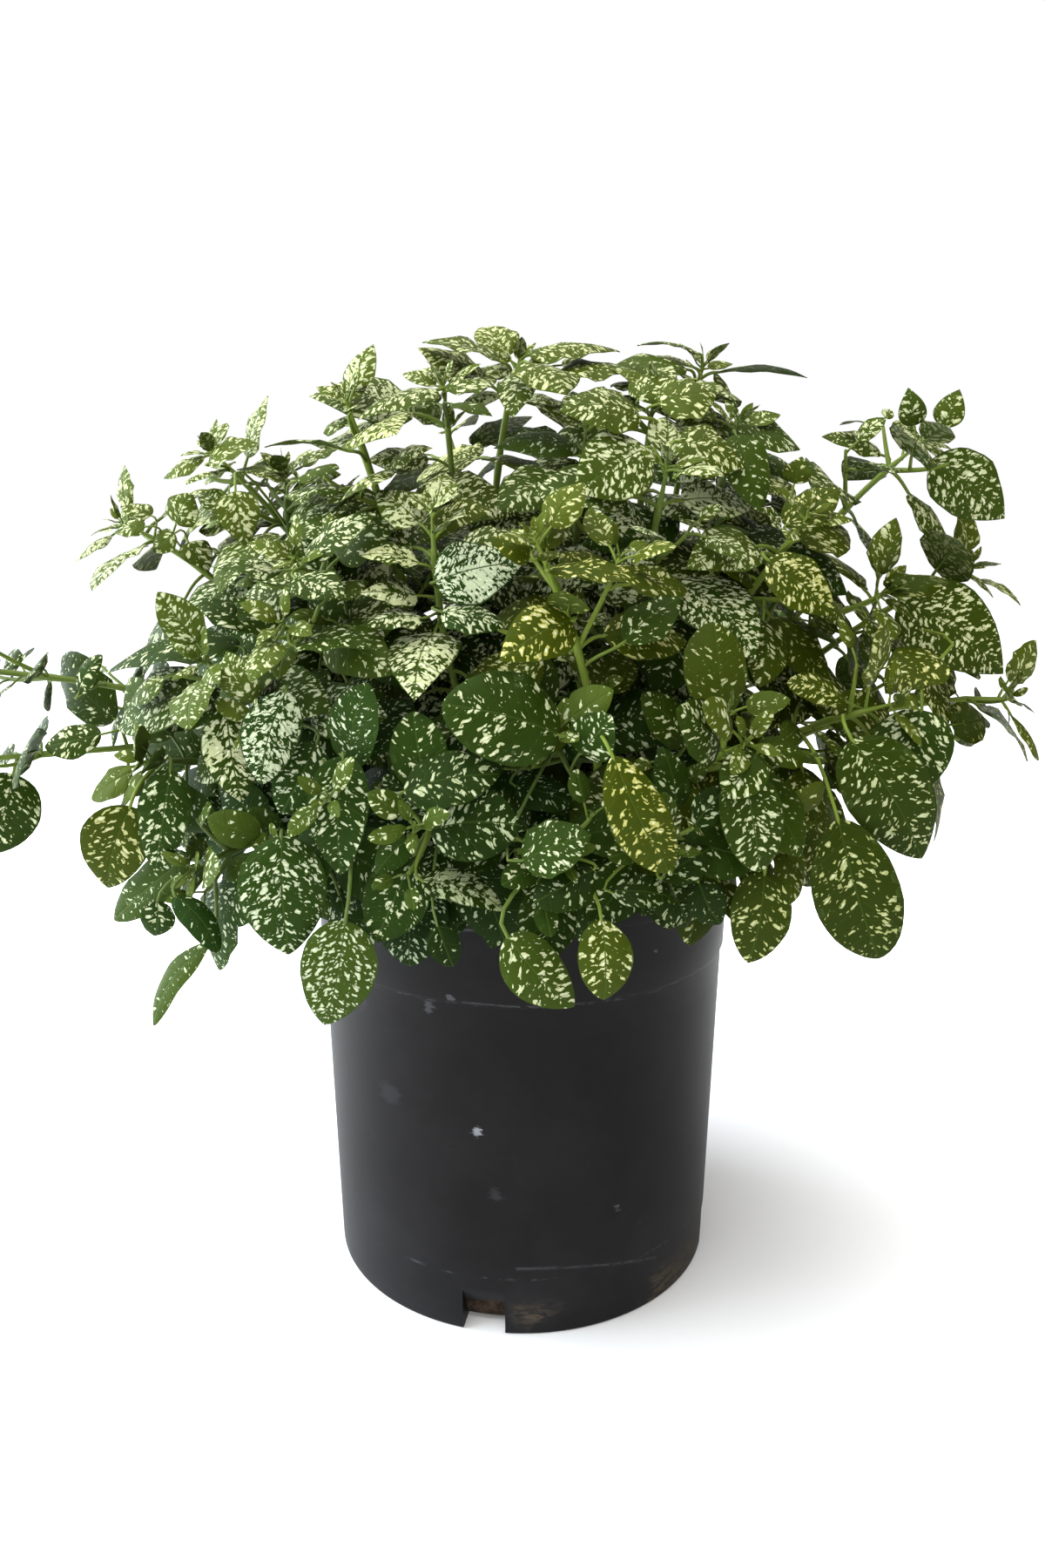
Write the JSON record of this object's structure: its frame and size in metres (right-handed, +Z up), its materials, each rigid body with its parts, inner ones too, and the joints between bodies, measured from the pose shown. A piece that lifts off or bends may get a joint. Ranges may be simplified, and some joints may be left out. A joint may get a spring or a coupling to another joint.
{
  "type": "potted polka dot plant",
  "caption": "Bushy potted polka dot plant: green leaves spotted with cream on arching stems, in a plain round black nursery pot.",
  "frame": {"origin": "centre of the pot's flat base, on the surface that it stands on", "axes": "+Z up along the pot's axis; -Y towards the plant's front, the side that the picture shows; +X to the right as seen from the front"},
  "size_m": [0.3824, 0.2949, 0.3497],
  "materials": {
    "pot": "satin black moulded plastic, lightly scuffed",
    "potting_mix": "damp crumbly peat and bark",
    "foliage": "soft satin leaf, green with cream and white spots"
  },
  "bodies": {
    "root": {"pot": "pot", "potting_mix": "potting_mix", "leafy_stem_01": "foliage", "leafy_stem_02": "foliage", "leafy_stem_03": "foliage", "leafy_stem_04": "foliage", "leafy_stem_05": "foliage", "leafy_stem_06": "foliage", "leafy_stem_07": "foliage", "leafy_stem_08": "foliage", "leafy_stem_09": "foliage", "leafy_stem_10": "foliage", "leafy_stem_11": "foliage", "leafy_stem_12": "foliage", "leafy_stem_13": "foliage", "leafy_stem_14": "foliage", "leafy_stem_15": "foliage", "leafy_stem_16": "foliage", "leafy_stem_17": "foliage", "leafy_stem_18": "foliage", "leafy_stem_19": "foliage", "leafy_stem_20": "foliage", "leafy_stem_21": "foliage", "leafy_stem_22": "foliage", "leafy_stem_23": "foliage", "leafy_stem_24": "foliage", "leafy_stem_25": "foliage", "leafy_stem_26": "foliage", "leafy_stem_27": "foliage", "leafy_stem_28": "foliage", "leafy_stem_29": "foliage", "leafy_stem_30": "foliage", "leafy_stem_31": "foliage", "leafy_stem_32": "foliage", "leafy_stem_33": "foliage", "leafy_stem_34": "foliage", "leafy_stem_35": "foliage", "leafy_stem_36": "foliage", "leafy_stem_37": "foliage", "leafy_stem_38": "foliage", "leafy_stem_39": "foliage", "leafy_stem_40": "foliage", "leafy_stem_41": "foliage", "leafy_stem_42": "foliage", "leafy_stem_43": "foliage", "leafy_stem_44": "foliage", "leafy_stem_45": "foliage", "leafy_stem_46": "foliage", "leafy_stem_47": "foliage"}
  },
  "joints": []
}
